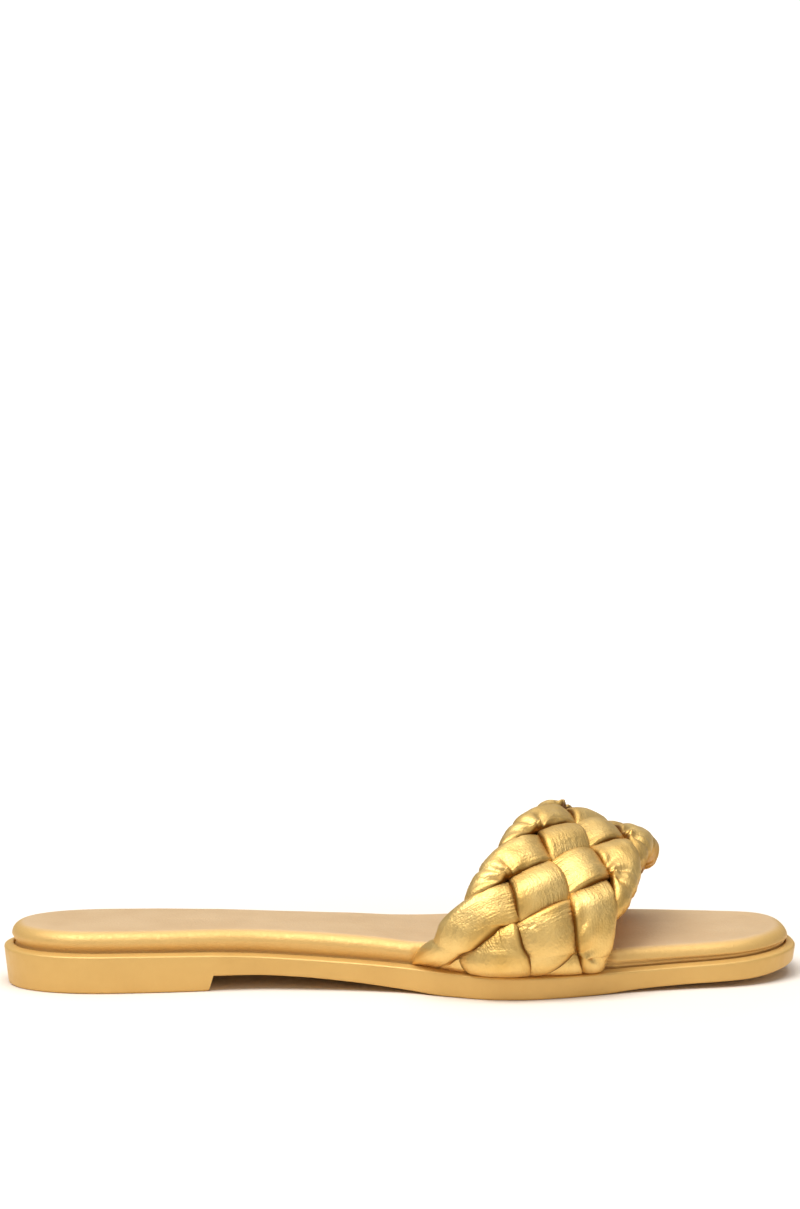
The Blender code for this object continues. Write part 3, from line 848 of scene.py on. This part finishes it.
def remapNode(tree, value, span, target=(0.0, 1.0), kind="SMOOTHSTEP"):
    node = addNode(tree, "MapRange", interpolation_type=kind)
    feed(tree, node.inputs["Value"], value)
    for names, ends in ((("From Min", "From Max"), span), (("To Min", "To Max"), target)):
        for name, end in zip(names, ends):
            feed(tree, node.inputs[name], end)
    return node.outputs["Result"]


def stretchNode(tree, place, factors):
    node = addNode(tree, "VectorMath", operation="MULTIPLY")
    feed(tree, node.inputs[0], place)
    feed(tree, node.inputs[1], factors)
    return node.outputs["Vector"]


def mixNode(tree, share, colour, other):
    node = addNode(tree, "Mix", data_type="RGBA")
    feed(tree, node.inputs["Factor"], share)
    feed(tree, node.inputs["A"], colour)
    feed(tree, node.inputs["B"], (*other, 1))
    return node.outputs["Result"]


def buildGrain():
    # pebbles, small folds and streaks as one normal, with uneven gloss and patches for the colour
    group = bpy.data.node_groups.new("leatherGrain", "ShaderNodeTree")
    takes = {
        "Place": "Vector", "Streak Place": "Vector", "Grain": "Float", "Depth": "Float",
        "Streaks": "Float", "Pleats": "Float", "Base Roughness": "Float",
    }
    gives = {"Patches": "Float", "Roughness": "Float", "Normal": "Vector"}
    for way, sockets in (("INPUT", takes), ("OUTPUT", gives)):
        for name, kind in sockets.items():
            group.interface.new_socket(name, in_out=way, socket_type="NodeSocket" + kind)
    given = group.nodes.new("NodeGroupInput").outputs
    result = group.nodes.new("NodeGroupOutput").inputs
    patches = noiseNode(group, given["Place"], grainLook["patchScale"], 5)
    pebble = addNode(group, "TexVoronoi", feature="SMOOTH_F1")
    feed(group, pebble.inputs["Vector"], given["Place"])
    feed(group, pebble.inputs["Scale"], given["Grain"])
    foldScale = mathNode(group, "MULTIPLY", given["Grain"], grainLook["foldScale"])
    foldNoise = noiseNode(group, given["Place"], foldScale, 4, 0.55)
    streaks = noiseNode(group, given["Streak Place"], 1, 3)
    height = mathNode(group, "MULTIPLY_ADD", foldNoise, grainLook["folds"], patches)
    height = mathNode(group, "MULTIPLY_ADD", pebble.outputs["Distance"], grainLook["pebbles"], height)
    height = mathNode(group, "MULTIPLY_ADD", streaks, given["Streaks"], height)
    height = mathNode(group, "ADD", height, given["Pleats"])
    bump = addNode(group, "Bump")
    feed(group, bump.inputs["Strength"], 1.0)
    feed(group, bump.inputs["Distance"], given["Depth"])
    feed(group, bump.inputs["Height"], height)
    gloss = remapNode(group, foldNoise, grainLook["foldSpread"], grainLook["glossSpread"], "LINEAR")
    feed(group, result["Patches"], patches)
    feed(group, result["Roughness"], mathNode(group, "ADD", gloss, given["Base Roughness"]))
    feed(group, result["Normal"], bump.outputs["Normal"])
    return group


def newMaterial(name):
    material = bpy.data.materials.new(name)
    material.use_nodes = True
    tree = material.node_tree
    return material, tree, tree.nodes["Principled BSDF"]


def readAttribute(tree, name):
    return addNode(tree, "Attribute", attribute_name=name).outputs["Fac"]


def alongStrand(tree):
    # place on a strand: crossings along it and breadth over it
    along = addNode(tree, "CombineXYZ")
    feed(tree, along.inputs["X"], readAttribute(tree, "run"))
    feed(tree, along.inputs["Y"], readAttribute(tree, "breadth"))
    return along.outputs["Vector"]


def pleatHeight(tree, along, finish):
    # pleats grow where the strand dives under the next one
    noise = noiseNode(tree, stretchNode(tree, along, finish["pleatStretch"]), 1, 1)
    diving = remapNode(tree, readAttribute(tree, "dive"), strandLook["pleatDive"])
    return mathNode(tree, "MULTIPLY", mathNode(tree, "MULTIPLY", noise, diving), finish["pleats"])


def paintedCreviceShade(tree, colour, finish):
    # painted shade: deeper gold where a strand dives and along its sides, dark in the crevice
    edge = readAttribute(tree, "edge")
    sides = remapNode(tree, edge, strandLook["deepSides"])
    sides = mathNode(tree, "MULTIPLY", sides, strandLook["sideShadeShare"])
    diving = remapNode(tree, readAttribute(tree, "dive"), strandLook["deepDive"])
    colour = mixNode(tree, mathNode(tree, "MAXIMUM", diving, sides), colour, finish["deep"])
    return mixNode(tree, remapNode(tree, edge, strandLook["creviceShade"]), colour, finish["creviceShade"])


def patchColour(tree, patches, finish):
    ramp = addNode(tree, "ValToRGB")
    looks = zip(ramp.color_ramp.elements, grainLook["patchStops"], ("dark", "light"))
    for stop, position, key in looks:
        stop.position = position
        stop.color = (*finish[key], 1)
    feed(tree, ramp.inputs["Fac"], patches)
    return ramp.outputs["Color"]


def goldFinish(name, finish):
    material, tree, shader = newMaterial(name)
    place = addNode(tree, "TexCoord").outputs["Object"]
    grain = addNode(tree, "Group", node_tree=grainGroup)
    along = place
    if "pleats" in finish:
        along = alongStrand(tree)
        feed(tree, grain.inputs["Pleats"], pleatHeight(tree, along, finish))
    given = {
        "Place": place,
        "Streak Place": stretchNode(tree, along, finish["stretch"]),
        "Grain": finish["grain"],
        "Depth": finish["depth"],
        "Streaks": finish["streaks"],
        "Base Roughness": finish["roughness"],
    }
    for socket, value in given.items():
        feed(tree, grain.inputs[socket], value)
    colour = patchColour(tree, grain.outputs["Patches"], finish)
    # painted shade on the strands: where they dive, along their sides and in their crevices
    if "creviceShade" in finish:
        colour = paintedCreviceShade(tree, colour, finish)
    # painted reflection: the footbed's rounded edge in a deeper gold than its top
    if "sideReflection" in finish:
        reflectedSide = remapNode(tree, readAttribute(tree, "edge"), sideReflectionSpread)
        colour = mixNode(tree, reflectedSide, colour, finish["sideReflection"])
    feed(tree, shader.inputs["Base Color"], colour)
    feed(tree, shader.inputs["Roughness"], grain.outputs["Roughness"])
    feed(tree, shader.inputs["Normal"], grain.outputs["Normal"])
    feed(tree, shader.inputs["Metallic"], finish["metallic"])
    return material


print("materials")
grainGroup = buildGrain()
braidLeather = goldFinish("braidLeather", finishes["braid"])
liningLeather = goldFinish("liningLeather", finishes["lining"])
footbedLeather = goldFinish("footbedLeather", finishes["footbed"])
soleRubber = goldFinish("soleRubber", finishes["rubber"])

for piece in strands:
    piece.data.materials.append(braidLeather)
    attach(piece, "root")
    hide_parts("upper")
liningPiece.data.materials.append(liningLeather)
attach(liningPiece, "root")
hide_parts("upper")
footbedPiece.data.materials.append(footbedLeather)
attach(footbedPiece, "root")
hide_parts("insole")
solePiece.data.materials.append(soleRubber)
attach(solePiece, "root")
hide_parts("outsole")


# Floor, light and camera. A lamp has its place, power and size.
studio = {
    "floorSize": 6.0,
    "floorColour": (0.92, 0.86, 0.79),
    "floorRoughness": 0.9,
    "floorGlow": 0.90,  # seen by the camera only, and rising away from the shoe
    "glowSpan": (0.12, 0.90),
    "world": 0.27,
    "worldSeen": 1.2,
    "aim": (0, 0, 0.02),
    "lamps": {
        "key": ((-0.52, -0.40, 1.35), 16.5, 1.0),
        "fill": ((0.9, -1.8, 0.9), 4, 1.5),
        "back": ((0.1, 1.0, 1.5), 4, 1.5),
        "top": ((0.25, -0.15, 1.6), 9.5, 1.1),
    },
}
camera = {
    "azimuth": -5.3,
    "elevation": 10.5,
    "pixelsPerMetre": 3116.0,
    "distance": 2.0,
    "origin": (402.0, 976.1),  # where the frame's origin lies in the picture, in pixels
    "picture": (800, 1209),
    "film": 36,
    "clip": (0.05, 50),
}


def buildFloor():
    mesh = bmesh.new()
    bmesh.ops.create_grid(mesh, x_segments=2, y_segments=2, size=studio["floorSize"])
    floor = toObject("floor", mesh)
    material, tree, shader = newMaterial("floorWhite")
    away = addNode(tree, "VectorMath", operation="LENGTH")
    feed(tree, away.inputs[0], addNode(tree, "TexCoord").outputs["Object"])
    glow = remapNode(tree, away.outputs["Value"], studio["glowSpan"], (0.0, studio["floorGlow"]), "LINEAR")
    seen = addNode(tree, "LightPath").outputs["Is Camera Ray"]
    looks = {
        "Base Color": (*studio["floorColour"], 1),
        "Roughness": studio["floorRoughness"],
        "Specular IOR Level": 0.0,
        "Emission Color": (1, 1, 1, 1),
        "Emission Strength": mathNode(tree, "MULTIPLY", seen, glow),
    }
    for socket, value in looks.items():
        feed(tree, shader.inputs[socket], value)
    floor.data.materials.append(material)


def buildLamp(name, spot, power, size):
    lamp = bpy.data.lights.new(name, "AREA")
    lamp.energy = power
    lamp.size = size
    thing = bpy.data.objects.new(name, lamp)
    bpy.context.scene.collection.objects.link(thing)
    pointAt(thing, Vector(spot), Vector(studio["aim"]))


def pointAt(thing, spot, aim):
    thing.location = spot
    thing.rotation_mode = "QUATERNION"
    thing.rotation_quaternion = (aim - spot).to_track_quat("-Z", "Y")


def buildWorld():
    # even light, and white behind the floor
    world = bpy.data.worlds.new("studio")
    world.use_nodes = True
    tree = world.node_tree
    background = tree.nodes["Background"]
    seen = addNode(tree, "LightPath").outputs["Is Camera Ray"]
    strength = remapNode(tree, seen, (0.0, 1.0), (studio["world"], studio["worldSeen"]), "LINEAR")
    feed(tree, background.inputs["Color"], (1, 1, 1, 1))
    feed(tree, background.inputs["Strength"], strength)
    bpy.context.scene.world = world
    bpy.context.scene.view_settings.view_transform = "Standard"


def buildCamera():
    data = bpy.data.cameras.new("camera")
    thing = bpy.data.objects.new("camera", data)
    bpy.context.scene.collection.objects.link(thing)
    azimuth = math.radians(camera["azimuth"])
    elevation = math.radians(camera["elevation"])
    right = Vector((math.cos(azimuth), math.sin(azimuth), 0))
    back = Vector((math.sin(azimuth), -math.cos(azimuth), 0)) * math.cos(elevation)
    back.z = math.sin(elevation)
    up = back.cross(right)
    wide, tall = camera["picture"]
    originX, originY = camera["origin"]
    aim = (right * (wide / 2 - originX) + up * (originY - tall / 2)) / camera["pixelsPerMetre"]
    data.sensor_fit = "AUTO"
    data.sensor_width = camera["film"]
    data.lens = camera["film"] * camera["distance"] * camera["pixelsPerMetre"] / tall
    data.clip_start, data.clip_end = camera["clip"]
    pointAt(thing, back * camera["distance"], aim)
    bpy.context.scene.camera = thing


print("stage")
buildFloor()
for name, (spot, power, size) in studio["lamps"].items():
    buildLamp(name, spot, power, size)
buildWorld()
buildCamera()
